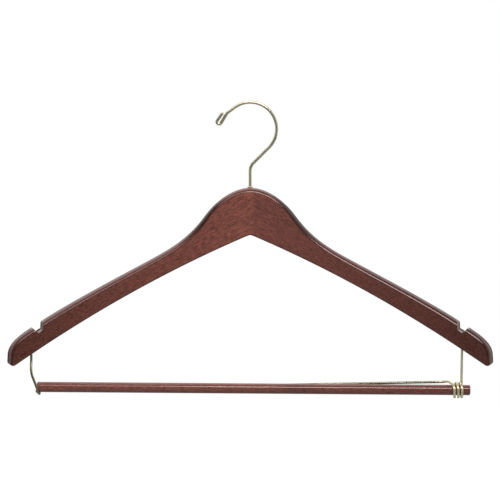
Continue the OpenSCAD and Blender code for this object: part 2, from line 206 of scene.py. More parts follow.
floor_material, tree, output = blank_material("pale_floor")
to_camera = place(tree, "ShaderNodeLightPath").outputs["Is Camera Ray"]
grey = place(tree, "ShaderNodeMix", {"Factor": to_camera, "A": FLOOR_BOUNCE, "B": FLOOR_GREY})
paint = place(tree, "ShaderNodeBsdfDiffuse", {"Color": grey.outputs[0]})
whitening = sums(tree, "MULTIPLY", to_camera, FLOOR_LIFT)
whiten = place(tree, "ShaderNodeEmission", {"Color": WHITE, "Strength": whitening})
above = place(tree, "ShaderNodeAddShader", {0: paint.outputs[0], 1: whiten.outputs[0]})
clear = place(tree, "ShaderNodeBsdfTransparent")
from_below = place(tree, "ShaderNodeNewGeometry").outputs["Backfacing"]
both = place(tree, "ShaderNodeMixShader", {0: from_below, 1: above.outputs[0], 2: clear.outputs[0]})
tree.links.new(both.outputs[0], output.inputs["Surface"])

floor_mesh = bpy.data.meshes.new("floor")
floor_corners = [(x * FLOOR_HALF, y * FLOOR_HALF, FLOOR_Z)
                 for x, y in ((-1, -1), (1, -1), (1, 1), (-1, 1))]
floor_mesh.from_pydata(floor_corners, [], [(0, 1, 2, 3)])
floor_mesh.materials.append(floor_material)
floor = bpy.data.objects.new("floor", floor_mesh)
bpy.context.scene.collection.objects.link(floor)
print("floor", -FLOOR_Z, "m below the rail")

# %% [markdown]
# ## Lamps
# Three soft lamps do what the photograph shows. A big one overhead, a little behind, lays the pale band
# along the rounded top edges. Two wide strips above the camera draw the thin bright line inside that
# band and the streak along the bar. A single lamp there would light both arms alike, but the right arm
# and the right of the bar shine more, so the right lamp is the stronger one.

# %% Lamps
SUBJECT = Vector((0, -20, -170)) * MM


def add_lamp(name, turn, rise, distance, width, height, power):
    """An area lamp aimed at the hanger: turn is to the right and rise is above, in degrees."""
    lamp = bpy.data.lights.new(name, "AREA")
    lamp.shape = "RECTANGLE"
    lamp.size = width
    lamp.size_y = height
    lamp.energy = power
    holder = bpy.data.objects.new(name, lamp)
    bpy.context.scene.collection.objects.link(holder)
    t = math.radians(turn)
    r = math.radians(rise)
    aim = Vector((math.sin(t) * math.cos(r), -math.cos(t) * math.cos(r), math.sin(r)))
    holder.location = SUBJECT + distance * aim
    holder.rotation_euler = (-aim).to_track_quat("-Z", "Y").to_euler()


add_lamp("overhead_softbox", turn=200, rise=72, distance=1.1, width=1.6, height=0.9, power=3.5)
add_lamp("key_right", turn=17, rise=43, distance=1.6, width=1.0, height=0.4, power=10.6)
add_lamp("key_left", turn=-21, rise=43, distance=1.6, width=0.9, height=0.45, power=3.8)

# %% [markdown]
# ## Finish of the wood
# The arms and the bar are hardwood, stained dark red-brown and lacquered. A picture of wood could be
# wrapped round them, but a solid pattern in the object's own coordinates runs through the wood as real
# grain does. The pattern is noise, stretched along the grain: broad bands and fine fibres.
# Stain is uneven on the real thing, and that is what makes it look stained. Shade is also painted into
# the wood: each arm is painted darker towards its tip and the bar towards its right end, where the light
# falls off; the rounded edges carry a painted dark band just off the face; and the neck's steep flanks,
# which face along the grain, are painted darker where they turn from the light. The walls of the notches
# are paler. A clear coat with a slight ripple is the lacquer.

# %% Grain
GRAIN_STRETCH = 5
BANDS_PER_M = 150
FIBRES_PER_M = 1200
FIBRE_SHARE = 0.88


def wood_grain(tree, where, grain_fall):
    """Fine fibres, and their mix with broad bands, on a grain that falls to the right in degrees."""
    turn = (0, math.radians(grain_fall), 0)
    stretched = place(tree, "ShaderNodeMapping", {
        "Vector": where["Object"], "Rotation": turn, "Scale": (GRAIN_STRETCH, 1, 1)},
        vector_type="TEXTURE").outputs[0]
    bands = place(tree, "ShaderNodeTexNoise", {
        "Vector": stretched, "Scale": BANDS_PER_M, "Detail": 2, "Distortion": 0.4}).outputs[0]
    fibres = place(tree, "ShaderNodeTexNoise", {
        "Vector": stretched, "Scale": FIBRES_PER_M, "Detail": 3, "Roughness": 0.6}).outputs[0]
    mixed = place(tree, "ShaderNodeMix", {"Factor": FIBRE_SHARE, "A": bands, "B": fibres})
    return fibres, mixed.outputs[0]


print(BANDS_PER_M, "bands and", FIBRES_PER_M, "fibres in a metre across the grain")

# %% Painted shade of the wood
FADE_X = 200 * MM
FLANK_REACH = (45 * MM, 70 * MM)
ALONG_GRAIN_SLANT = (0.02, 0.2)
FLANK_SHADE_LEVEL = 0.28


def edge_band_shade(tree, flat, edge_shade_level):
    """Painted shade: a dark band just off the flat face (flat is 1 there), on the rounded edge, and plain on
    the top (0).
    """
    levels = [(0, 1), (0.4, 1), (0.7, edge_shade_level + 0.06), (0.965, edge_shade_level), (0.992, 1)]
    return ramp(tree, flat, greys(levels))


def flank_shade(tree, normal, face_way, outward, grain_fall):
    """Painted shade on the flanks of the neck, where the surface turns to face along the grain and away from
    the light.
    """
    fall = math.radians(grain_fall)
    side = math.copysign(1, grain_fall)
    level = place(tree, "ShaderNodeVectorMath", {0: face_way, 1: (0, 0, side * math.cos(fall))},
                  operation="CROSS_PRODUCT")
    grain_way = place(tree, "ShaderNodeVectorMath", {0: level.outputs[0], 1: (0, 0, -abs(math.sin(fall)))})
    darkest = fade(tree, outward, *FLANK_REACH, FLANK_SHADE_LEVEL, 1)
    return fade(tree, along(tree, normal, grain_way.outputs[0]), *ALONG_GRAIN_SLANT, 1, darkest)


# Painted shade on the neck's flanks takes the tone down to this level.
print("end grain takes the tone down to", FLANK_SHADE_LEVEL)

# %% Lacquer
SHEEN = (0.14, 0.24)
SHEEN_TINT = (1.0, 0.6, 0.55, 1.0)
RIPPLES_PER_M = 130


def lacquer(tree, where, colour, fibres, coat, ripple):
    """A warm sheen on the fibres, under a clear coat that ripples."""
    bump = place(tree, "ShaderNodeBump", {"Strength": 0.1, "Distance": 0.1 * MM, "Height": fibres})
    waves = place(tree, "ShaderNodeTexNoise", {"Vector": where["Object"], "Scale": RIPPLES_PER_M})
    flow = place(tree, "ShaderNodeBump", {
        "Strength": ripple, "Distance": 1 * MM, "Height": waves.outputs[0]})
    surface = place(tree, "ShaderNodeBsdfPrincipled", {
        "Base Color": colour, "Roughness": fade(tree, fibres, 0, 1, *SHEEN),
        "Normal": bump.outputs[0], "Specular IOR Level": 0.5, "Specular Tint": SHEEN_TINT,
        "Coat Weight": coat, "Coat Roughness": 0.1, "Coat IOR": 1.5, "Coat Normal": flow.outputs[0]})
    return surface.outputs[0]


print("lacquer of roughness", SHEEN[0], "to", SHEEN[1])

# %% Lacquered wood
SWEEP = 620 * MM
NOTCH_AT = 189.5 * MM
NOTCH_HALF = 5.5 * MM
WALL_FLAT = (0.4, 0.15)
NOTCH_PALE_COLOUR = (0.52, 0.42, 0.33, 1)
GRAIN_ENDS = (0.34, 0.66)


def lacquered_wood(name, grain_fall, dark, light, shade_ends, edge_shade_level, notch_pale, coat, ripple):
    """Stained wood under lacquer, with painted shade. Colours are linear, and the tones for the left and
    right are painted shade.
    """
    material, tree, output = blank_material(name)
    where = place(tree, "ShaderNodeTexCoord").outputs
    fibres, grain = wood_grain(tree, where, grain_fall)
    x = place(tree, "ShaderNodeSeparateXYZ", {0: where["Object"]}).outputs["X"]
    outward = sums(tree, "ABSOLUTE", x)
    swept_out = place(tree, "ShaderNodeCombineXYZ", {"X": x, "Y": SWEEP})
    face_way = place(tree, "ShaderNodeVectorMath", {0: swept_out.outputs[0]}, operation="NORMALIZE")
    flat = sums(tree, "ABSOLUTE", along(tree, where["Normal"], face_way.outputs[0]))
    # Painted shade on the neck's flanks, where they turn from the light.
    flank_shaded = flank_shade(tree, where["Normal"], face_way.outputs[0], outward, grain_fall)
    # Painted shade: a dark band on the rounded edges just off the face.
    painted_shading = sums(tree, "MULTIPLY", edge_band_shade(tree, flat, edge_shade_level), flank_shaded)
    # Painted shade: darker towards the tips of the arms and the right end of the bar, where the light falls
    # off.
    tone = sums(tree, "MULTIPLY", fade(tree, x, -FADE_X, FADE_X, *shade_ends), painted_shading)
    plain = ramp(tree, grain, list(zip(GRAIN_ENDS, (dark, light))))
    wood = place(tree, "ShaderNodeVectorMath", {0: plain, "Scale": tone}, operation="SCALE")
    # Paler on the walls of the notches.
    at_notch = sums(tree, "COMPARE", outward, NOTCH_AT, NOTCH_HALF)
    notch_paling = sums(tree, "MULTIPLY", at_notch, fade(tree, flat, *WALL_FLAT, 0, notch_pale))
    colour = place(tree, "ShaderNodeMix", {0: notch_paling, 6: wood.outputs[0], 7: NOTCH_PALE_COLOUR}, data_type="RGBA")
    surface = lacquer(tree, where, colour.outputs[2], fibres, coat, ripple)
    tree.links.new(surface, output.inputs["Surface"])
    return material


# %% Woods of the hanger
ARM_FALL = 29
# The tones at the ends and the edge level are painted shade.
left_wood = lacquered_wood("left_arm_lacquer", -ARM_FALL, dark=(0.1, 0.035, 0.026),
                           light=(0.302, 0.094, 0.068), shade_ends=(0.48, 1.52), edge_shade_level=0.52,
                           notch_pale=0.4, coat=0.5, ripple=0.15)
right_wood = lacquered_wood("right_arm_lacquer", ARM_FALL, dark=(0.092, 0.033, 0.026),
                            light=(0.236, 0.075, 0.057), shade_ends=(1.55, 0.45), edge_shade_level=0.48,
                            notch_pale=0.6, coat=0.5, ripple=0.15)
bar_wood = lacquered_wood("bar_lacquer", 0, dark=(0.1, 0.036, 0.03),
                          light=(0.29, 0.096, 0.07), shade_ends=(1.04, 0.72), edge_shade_level=0.86,
                          notch_pale=0.0, coat=0.6, ripple=0.18)
print("wood finishes:", [m.name for m in (left_wood, right_wood, bar_wood)])

# %% [markdown]
# ## Finish of the brass
# The hook and the spring wire are drawn wire with a polished brass plate. Drawing leaves faint lines
# along the wire, so this finish reads an attribute that each wire carries: its own coordinates as if
# it were pulled straight. Plain object coordinates could not follow the bends. The spring wire is
# painted darker along the bar and at its left end, a painted shade where less light falls; its coil and
# right leg keep the full tone.

# %% Polished brass
LINES_PER_M = 3000
LINE_STRETCH = 0.03
TONES_PER_M = 160
GLOSS_BELOW = 0.05
GLOSS_ABOVE = 0.07
SHADED_TO_LIT = (165 * MM, 178 * MM)


def polished_brass(name, bright, dull, roughness, coordinates, left_shade=1.0):
    """Brass with faint drawing lines along the third coordinate, and a painted shade that darkens it to the
    left.
    """
    material, tree, output = blank_material(name)
    position = place(tree, "ShaderNodeTexCoord").outputs["Object"]
    where = position
    if coordinates != "Object":
        where = place(tree, "ShaderNodeAttribute", attribute_name=coordinates).outputs["Vector"]
    drawn = place(tree, "ShaderNodeMapping", {"Vector": where, "Scale": (1, 1, LINE_STRETCH)})
    lines = place(tree, "ShaderNodeTexNoise", {"Vector": drawn.outputs[0], "Scale": LINES_PER_M, "Detail": 1})
    tone = place(tree, "ShaderNodeTexNoise", {"Vector": where, "Scale": TONES_PER_M, "Detail": 3}).outputs[0]
    colour = place(tree, "ShaderNodeMix", {0: tone, 6: (*bright, 1), 7: (*dull, 1)}, data_type="RGBA")
    x = place(tree, "ShaderNodeSeparateXYZ", {0: position}).outputs["X"]
    # Painted shade: darker to the left of the coil, where the real wire is less lit.
    shade_to_left = fade(tree, x, *SHADED_TO_LIT, left_shade, 1)
    plate = place(tree, "ShaderNodeVectorMath", {0: colour.outputs[2], "Scale": shade_to_left}, operation="SCALE")
    gloss = fade(tree, tone, 0, 1, roughness - GLOSS_BELOW, roughness + GLOSS_ABOVE)
    bump = place(tree, "ShaderNodeBump", {
        "Strength": 0.015, "Distance": 0.02 * MM, "Height": lines.outputs[0]})
    surface = place(tree, "ShaderNodeBsdfPrincipled", {
        "Base Color": plate.outputs[0], "Metallic": 1.0, "Roughness": gloss, "Normal": bump.outputs[0]})
    tree.links.new(surface.outputs[0], output.inputs["Surface"])
    return material


# %% Brasses of the hanger
STRAIGHTENED = "straightened"
hook_brass = polished_brass("hook_plate", bright=(0.8, 0.76, 0.56), dull=(0.62, 0.58, 0.4),
                            roughness=0.24, coordinates=STRAIGHTENED)
wire_brass = polished_brass("wire_plate", bright=(1.0, 0.95, 0.66), dull=(0.86, 0.8, 0.51),
                            roughness=0.25, coordinates=STRAIGHTENED, left_shade=0.28)
liner_brass = polished_brass("turned_brass", bright=(0.6, 0.46, 0.36), dull=(0.48, 0.35, 0.25),
                             roughness=0.28, coordinates="Object")
print("brass finishes:", [m.name for m in (hook_brass, wire_brass, liner_brass)])

# %% [markdown]
# ## Outline of an arm
# Seen from the front, the top of an arm is one flowing line: over the neck, down the flank, along the
# shoulder and round the nose. It could be traced as many points, but four cubic curves, joined at knots
# where the real line changes its bend, give it with few numbers. The underside is one long arc. Both
# repeat the sizes of the CAD model.

# %% Knots of the top line
SPAN = 432 * MM
STOCK = 14 * MM
TIP_ROUND = 3 * MM
NECK_TOP = -75.5 * MM
NOSE_LENGTH = 16 * MM
MEAN_FALL = math.radians(29.2)
TIP_X = SPAN / 2 * SWEEP / (SWEEP + STOCK / 2 - TIP_ROUND)
NOSE_X = TIP_X - NOSE_LENGTH
NECK = np.array([0, NECK_TOP])
FLANK = np.array([41 * MM, NECK_TOP - 25.7 * MM])
SHOULDER = np.array([92 * MM, NECK_TOP - 65.7 * MM])
NOSE = np.array([NOSE_X, SHOULDER[1] - (NOSE_X - SHOULDER[0]) * math.tan(MEAN_FALL)])
TIP_END = np.array([TIP_X, NOSE[1] - 21.5 * MM])
# Each knot: its place, its fall in degrees, and its handles before and after it in mm
KNOTS = [(NECK, 0, 0, 14), (FLANK, 54, 19, 25), (SHOULDER, 28, 23, 36), (NOSE, 34, 36, 10),
         (TIP_END, 90, 9.5, 0)]
print("top line of", len(KNOTS) - 1, "curves, to a tip", round(TIP_X / MM, 1), "mm out")

# %% Top line
FINE_STEPS = 400
NOSE_STEPS = 36


def falling(angle):
    """Unit step, as x and z, along a line that falls to the right at this angle in degrees."""
    return np.array([math.cos(math.radians(angle)), -math.sin(math.radians(angle))])


def curve(first, last, steps):
    """Points of the cubic curve from one knot to the next, without its start."""
    start, start_fall, _, start_handle = first
    end, end_fall, end_handle, _ = last
    a = start + start_handle * MM * falling(start_fall)
    b = end - end_handle * MM * falling(end_fall)
    t = np.linspace(0, 1, steps + 1)[1:, None]
    return (1 - t) ** 3 * start + 3 * t * (1 - t) ** 2 * a + 3 * t * t * (1 - t) * b + t ** 3 * end


top_line = np.vstack([[NECK], *[curve(KNOTS[i], KNOTS[i + 1], FINE_STEPS) for i in range(3)]])
nose_line = curve(KNOTS[3], KNOTS[4], NOSE_STEPS)


def top_z(x):
    return np.interp(np.abs(x), top_line[:, 0], top_line[:, 1])


print("nose starts at", np.round(NOSE / MM, 1), "mm and ends at", np.round(TIP_END / MM, 1), "mm")

# %% Underside
NECK_HEIGHT = 42 * MM
APEX_Z = NECK_TOP - NECK_HEIGHT
APEX_SOFT = 0.8 * MM
APEX_FALL = math.radians(23)
ARCH_RADIUS = 1300 * MM
ARCH_X = -ARCH_RADIUS * math.sin(APEX_FALL)


def arch_rise(x, radius):
    return np.sqrt(radius ** 2 - np.square(x - ARCH_X))


ARCH_Z = APEX_Z - arch_rise(APEX_SOFT, ARCH_RADIUS)


def under_z(x):
    return ARCH_Z + arch_rise(np.hypot(x, APEX_SOFT), ARCH_RADIUS)


corner_x = TIP_X - TIP_ROUND
corner_reach = ARCH_RADIUS + TIP_ROUND
corner = np.array([corner_x, ARCH_Z + arch_rise(corner_x, corner_reach)])
corner_fall = math.asin((corner_x - ARCH_X) / corner_reach)
UNDER_STEPS = NOSE_STEPS // 3
under_x = np.linspace(NOSE_X, corner_x - TIP_ROUND * math.sin(corner_fall), UNDER_STEPS + 1)[1:]
corner_turn = np.linspace(1.5 * math.pi - corner_fall, 2 * math.pi, NOSE_STEPS - UNDER_STEPS + 1)[1:]
corner_line = corner + TIP_ROUND * np.column_stack([np.cos(corner_turn), np.sin(corner_turn)])
under_nose = np.vstack([np.column_stack([under_x, under_z(under_x)]), corner_line])
print("apex at", round(APEX_Z / MM, 1), "mm, lowest of a tip", round(corner_line[:, 1].min() / MM, 1), "mm")

# %% [markdown]
# ## Loft of an arm
# A saw and a router give an arm its shape: a thick board, bent forward in plan, with its top edges
# rounded over and its lower ones only eased. A box with bevels would round every edge alike, so the
# arm is lofted: at each station along it, a ring of points goes round the section. The strap notch is
# cut into the heights of the top before they become points, and a ball rolled along under that line
# rounds the notch's lips.

# %% Stations along the arm
NOTCH_FROM_TIP = 25.4 * MM
NOTCH_X = TIP_X - NOTCH_FROM_TIP
NOTCH_PITCH = 0.1 * MM
NOTCH_STEPS = 60
BLANK_START = -4 * MM
END_STEPS = 4
SHOULDER_STEPS = 124
notch_x = NOTCH_X + np.arange(-NOTCH_STEPS, NOTCH_STEPS + 1) * NOTCH_PITCH
station_x = np.concatenate([np.linspace(BLANK_START, 0, END_STEPS + 1)[:-1],
                            np.linspace(0, notch_x[0], SHOULDER_STEPS + 1)[:-1], notch_x,
                            np.linspace(notch_x[-1], NOSE_X, END_STEPS + 1)[1:]])
print(len(station_x) + NOSE_STEPS, "stations along each arm")

# %% Strap notch
NOTCH_DEPTH = 7.2 * MM
NOTCH_ROUND = 3.5 * MM
NOTCH_CENTRE = top_z(NOTCH_X) - NOTCH_DEPTH + NOTCH_ROUND
NOTCH_LEAN = math.radians(30)
LIP_ROUND = 1.2 * MM


def roll_ball(heights):
    """Rounds the outward corners of a line of heights at the notch's pitch."""
    reach = int(LIP_ROUND / NOTCH_PITCH)
    shifts = range(-reach, reach + 1)
    ball = [math.sqrt(max(0, LIP_ROUND ** 2 - (s * NOTCH_PITCH) ** 2)) for s in shifts]
    wide = np.pad(heights, 2 * reach, mode="reflect", reflect_type="odd")
    span = len(wide)
    low = np.min([wide[reach + s:span - reach + s] - b for s, b in zip(shifts, ball)], axis=0)
    span = len(low)
    high = np.max([low[reach + s:span - reach + s] + b for s, b in zip(shifts, ball)], axis=0)
    return np.minimum(heights, high)


def notched(heights):
    """Heights at every station, cut by the notch: inner wall upright, floor round, outer wall leaning."""
    across = station_x - NOTCH_X
    wall_x = NOTCH_ROUND * math.cos(NOTCH_LEAN)
    floor_z = NOTCH_CENTRE - np.sqrt(np.clip(NOTCH_ROUND ** 2 - np.square(across), 0, None))
    wall_z = NOTCH_CENTRE - NOTCH_ROUND * math.sin(NOTCH_LEAN) + (across - wall_x) / math.tan(NOTCH_LEAN)
    opened = np.minimum(heights, np.where(across > wall_x, wall_z, floor_z))
    cut = np.where(across > -NOTCH_ROUND, opened, heights)
    first = np.searchsorted(station_x, notch_x[0])
    cut[first:first + len(notch_x)] = roll_ball(cut[first:first + len(notch_x)])
    return cut


print("notch", NOTCH_DEPTH / MM, "mm deep at", round(NOTCH_X / MM, 1), "mm")

# %% Layers of a rounded edge
ROUND_STEPS = 9
quarter = np.linspace(math.pi / 2, 0, ROUND_STEPS + 1)
layer_angle = np.concatenate([quarter, quarter[::-1]])
layer_side = np.repeat([-1, 1], ROUND_STEPS + 1)
LAYERS = len(layer_angle)


def layer(radius, k):
    """Depth through the stock, and inset from the edge, of one layer of a rounded edge."""
    depth = layer_side[k] * (STOCK / 2 - radius + radius * math.sin(layer_angle[k]))
    return depth, radius * (1 - math.cos(layer_angle[k]))


def swept(x, z, depth):
    """Points of the flat outline, set on the forward sweep at a depth through the stock."""
    drop = np.sqrt(SWEEP ** 2 - np.square(x)) - SWEEP
    return np.stack([x + depth * x / SWEEP, drop + depth * (1 + drop / SWEEP), z], axis=-1)


def plumb_rate(heights):
    """How far down a plumb line goes for each unit of inset, at every station."""
    return np.sqrt(1 + np.square(np.gradient(heights, station_x)))


print(LAYERS, "layers through the stock")

# %% Inward directions round the nose
STEEPEST = math.radians(70)
nose_share = np.linspace(0, 1, NOSE_STEPS + 1)[1:]


def nose_inward(line, side):
    """Inward direction at each point of the nose: plumb at its start, square to the line further on."""
    step = np.gradient(line, axis=0)
    slope = np.arctan2(step[:, 1], step[:, 0])
    plumb = np.column_stack([0 * slope, -side / np.cos(np.clip(np.abs(slope), 0, STEEPEST))])
    square = side * np.column_stack([np.sin(slope), -np.cos(slope)])
    turn = np.clip(2 * nose_share, 0, 1)[:, None]
    return (1 - turn) * plumb + turn * square


# %% Rings of points
EDGE_ROUND = 4.5 * MM
UNDER_ROUND = 1.5 * MM
NOSE_UNDER_ROUND = 0.95 * TIP_ROUND


def edge_layers(side):
    """Points of the top edge (side 1) or the under edge (side -1), layer by layer."""
    heights = top_z(station_x) if side > 0 else under_z(station_x)
    nose = nose_line if side > 0 else under_nose
    board_round = EDGE_ROUND if side > 0 else UNDER_ROUND
    nose_end_round = EDGE_ROUND if side > 0 else NOSE_UNDER_ROUND
    nose_round = board_round + (nose_end_round - board_round) * nose_share
    inward = nose_inward(nose, side)
    layers = []
    for k in range(LAYERS):
        depth, inset = layer(board_round, k)
        z = heights - side * inset * plumb_rate(heights)
        board = swept(station_x, notched(z) if side > 0 else z, depth)
        depth, inset = layer(nose_round, k)
        end = nose + inset[:, None] * inward
        layers.append(np.vstack([board, swept(end[:, 0], end[:, 1], depth)]))
    return np.array(layers)


top_layers = edge_layers(1)
under_layers = edge_layers(-1)
print("top edge:", top_layers.shape[:2], "points")

# %% Rows up the flat faces
FACE_GUARD = 1.5 * MM
UNDER_GUARD = 0.5 * MM


def face_rows(k):
    """Rows of points up one flat face, beside the edge layers k. They keep below the notch."""
    low = under_layers[k]
    high = top_layers[k].copy()
    heights = top_z(station_x)
    depth, inset = layer(EDGE_ROUND, k)
    high[:len(station_x)] = swept(station_x, heights - inset * plumb_rate(heights), depth)
    reach = np.linalg.norm(high - low, axis=1)[:, None]
    shares = [UNDER_GUARD / reach, 0.5 + 0 * reach, 1 - FACE_GUARD / reach]
    return [low + share * (high - low) for share in shares]


back_rows = face_rows(LAYERS - 1)
front_rows = face_rows(0)[::-1]
FACE_ROWS = len(front_rows)
print(FACE_ROWS, "rows of points up each face")

# %% Skin over the rings
rings = np.stack([*under_layers, *back_rows, *top_layers[::-1], *front_rows], axis=1)
stations, ring = rings.shape[:2]
blank_faces = [tuple(range(ring))]
for i in range(stations - 1):
    for k in range(ring):
        a = i * ring + k
        b = i * ring + (k + 1) % ring
        blank_faces.append((a, b, b + ring, a + ring))
tip_under = (stations - 1) * ring
tip_top = tip_under + 2 * LAYERS + FACE_ROWS - 1
for k in range(LAYERS - 1):
    face = [tip_under + k, tip_under + k + 1, tip_top - k - 1, tip_top - k]
    if k == LAYERS - 2:
        face[2:2] = range(tip_under + LAYERS, tip_under + LAYERS + FACE_ROWS)
    if k == 0:
        face.extend(range(tip_top + 1, tip_top + 1 + FACE_ROWS))
    blank_faces.append(tuple(face))
print(len(blank_faces), "faces in the blank of an arm")

# %% [markdown]
# ## Turned pieces and cutters
# Round pieces come from a lathe: a profile of radius and height goes round an axis. The same function
# makes the drills for the bores of the neck, which are subtracted from the arms with a Boolean. The
# glue joint is cut in the same way, with a comb whose fingers lie through the thickness.

# %% Lathe
WELD = 0.001 * MM
LATHE_SIDES = 64


def make_piece(name, points, faces):
    """A mesh object with shared corners and outward faces."""
    mesh = bpy.data.meshes.new(name)
    mesh.from_pydata([tuple(p) for p in points], [], faces)
    work = bmesh.new()
    work.from_mesh(mesh)
    bmesh.ops.remove_doubles(work, verts=work.verts, dist=WELD)
    bmesh.ops.recalc_face_normals(work, faces=work.faces)
    work.to_mesh(mesh)
    work.free()
    piece = bpy.data.objects.new(name, mesh)
    bpy.context.scene.collection.objects.link(piece)
    return piece


def turn_profile(name, profile, centre, closed):
    """Turns a profile of (radius, height) round an upright axis at centre, given as x and y."""
    angles = np.arange(LATHE_SIDES) * 2 * math.pi / LATHE_SIDES
    points = [(centre[0] + r * math.cos(a), centre[1] + r * math.sin(a), z)
              for r, z in profile for a in angles]
    faces = []
    for i in range(len(profile) if closed else len(profile) - 1):
        low = i * LATHE_SIDES
        high = (i + 1) % len(profile) * LATHE_SIDES
        for k in range(LATHE_SIDES):
            n = (k + 1) % LATHE_SIDES
            faces.append((low + k, low + n, high + n, high + k))
    return make_piece(name, points, faces)


# %% Bores of the neck
HOOK_WIRE = 1.4 * MM
FERRULE_ROUND = 2 * MM
FERRULE_LENGTH = 12 * MM
COLLAR_ROUND = 2.4 * MM
COLLAR_SUNK = 0.3 * MM
COLLAR_SEAT = NECK_TOP - COLLAR_SUNK
FERRULE_FOOT = COLLAR_SEAT - FERRULE_LENGTH
RECESS_ROUND = 4.9 * MM
RECESS_DEPTH = 14 * MM
RECESS_TOP = APEX_Z + RECESS_DEPTH
SEAT_GAP = 0.02 * MM
STEM_GAP = 0.2 * MM
OVER = 5 * MM
bore_steps = [(0, APEX_Z - OVER), (RECESS_ROUND, APEX_Z - OVER), (RECESS_ROUND, RECESS_TOP),
              (HOOK_WIRE + STEM_GAP, RECESS_TOP), (HOOK_WIRE + STEM_GAP, FERRULE_FOOT),
              (FERRULE_ROUND + SEAT_GAP, FERRULE_FOOT), (FERRULE_ROUND + SEAT_GAP, COLLAR_SEAT),
              (COLLAR_ROUND + SEAT_GAP, COLLAR_SEAT), (COLLAR_ROUND + SEAT_GAP, NECK_TOP + OVER),
              (0, NECK_TOP + OVER)]
print("neck bore in", len(bore_steps) - 1, "steps")

# %% Comb for the glue joint
FINGER_REACH = 3 * MM
FINGERS = 4
COMB_BACK = -10 * FINGER_REACH


def finger_comb(side):
    """Cuts away what the other arm fills. The front finger belongs to the left arm (side -1)."""
    outline = [(COMB_BACK, -STOCK)]
    width = STOCK / FINGERS
    for f in range(FINGERS):
        other_in_front = (f % 2 == 0) == (side > 0)
        x = FINGER_REACH if other_in_front else -FINGER_REACH
        low = -STOCK if f == 0 else f * width - STOCK / 2
        high = STOCK if f == FINGERS - 1 else (f + 1) * width - STOCK / 2
        outline += [(x, low), (x, high)]
    outline.append((COMB_BACK, STOCK))
    count = len(outline)
    points = [(side * x, y, z) for z in (APEX_Z - OVER, NECK_TOP + OVER) for x, y in outline]
    faces = [tuple(range(count)), tuple(range(count, 2 * count))]
    faces += [(i, (i + 1) % count, (i + 1) % count + count, i + count) for i in range(count)]
    return make_piece("comb", points, faces)


print("glue joint with", FINGERS, "fingers of", 2 * FINGER_REACH / MM, "mm")

# %% [markdown]
# ## The two arms
# The blank is made once for the right and mirrored for the left. Each is cut by the comb, the neck
# bores and the drill for its leg of the spring wire. Edges sharper than a set angle stay crisp and the
# rest is shaded smooth.

# %% Cutting and finishing
CRISP = math.radians(38)


def subtract(piece, cutters):
    """Cuts the piece and keeps the result as a plain mesh."""
    for cutter in cutters:
        cut = piece.modifiers.new(cutter.name, "BOOLEAN")
        cut.operation = "DIFFERENCE"
        cut.solver = "EXACT"
        cut.object = cutter
    graph = bpy.context.evaluated_depsgraph_get()
    mesh = bpy.data.meshes.new_from_object(piece.evaluated_get(graph))
    piece.modifiers.clear()
    piece.data = mesh
    for cutter in cutters:
        bpy.data.objects.remove(cutter)


def finish_piece(piece, material, body, node):
    """Shades the piece, gives it its finish and puts it in the place of its CAD node."""
    piece.data.name = piece.name
    piece.data.materials.clear()
    piece.data.materials.append(material)
    piece.data.polygons.foreach_set("use_smooth", [True] * len(piece.data.polygons))
    piece.data.set_sharp_from_angle(angle=CRISP)
    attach(piece, body)
    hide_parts(node)
    print(piece.name, "has", len(piece.data.polygons), "faces")


# %% Arms
WIRE = 1.1 * MM
LEG_GAP = 0.05 * MM
LEG_DEPTH = 12 * MM
LEG_X = {"left": 195 * MM, "right": 188.8 * MM}


def sweep_y(x):
    return math.sqrt(SWEEP ** 2 - x ** 2) - SWEEP


for hand, side, wood in (("left", -1, left_wood), ("right", 1, right_wood)):
    arm = make_piece(hand + "_arm_wood", rings.reshape(-1, 3) * (side, 1, 1), blank_faces)
    leg_x = LEG_X[hand]
    leg_top = under_z(leg_x)
    drill = [(0, leg_top - OVER), (WIRE + LEG_GAP, leg_top - OVER),
             (WIRE + LEG_GAP, leg_top + LEG_DEPTH), (0, leg_top + LEG_DEPTH)]
    subtract(arm, [finger_comb(side), turn_profile("neck_bores", bore_steps, (0, 0), False),
                   turn_profile("leg_drill", drill, (side * leg_x, sweep_y(leg_x)), False)])
    finish_piece(arm, wood, "hanger", hand + "_arm")

# %% [markdown]
# ## A maker of rods and wires
# The hook, the spring wire and the bar are all round stock that follows a path. A curve with a bevel
# could do it, but Geometry Nodes also let the path carry a gauge, which makes the sweep thicker or
# thinner. That gives domed and eased ends and the hook's peened head. The tree stores the straightened
# coordinates that the brass finish reads, too.

# %% Node tree that sweeps a rod
GAUGE = "gauge"
rod_tree = bpy.data.node_groups.new("swept_rod", "GeometryNodeTree")
rod_tree.interface.new_socket("Path", in_out="INPUT", socket_type="NodeSocketGeometry")
rod_inputs = {name: rod_tree.interface.new_socket(name, in_out="INPUT", socket_type=kind).identifier
              for name, kind in (("Radius", "NodeSocketFloat"), ("Sides", "NodeSocketInt"),
                                 ("Finish", "NodeSocketMaterial"))}
rod_tree.interface.new_socket("Rod", in_out="OUTPUT", socket_type="NodeSocketGeometry")
given = place(rod_tree, "NodeGroupInput")
path = place(rod_tree, "GeometryNodeMeshToCurve", {"Mesh": given.outputs["Path"]})
measure = place(rod_tree, "GeometryNodeSplineParameter")
marked = place(rod_tree, "GeometryNodeCaptureAttribute")
marked.capture_items.new("FLOAT", "Along")
rod_tree.links.new(path.outputs[0], marked.inputs["Geometry"])
rod_tree.links.new(measure.outputs["Length"], marked.inputs["Along"])
circle = place(rod_tree, "GeometryNodeCurvePrimitiveCircle", {
    "Resolution": given.outputs["Sides"], "Radius": given.outputs["Radius"]})
rim = place(rod_tree, "GeometryNodeCaptureAttribute")
rim.capture_items.new("VECTOR", "Around")
rod_tree.links.new(circle.outputs["Curve"], rim.inputs["Geometry"])
rod_tree.links.new(place(rod_tree, "GeometryNodeInputPosition").outputs[0], rim.inputs["Around"])
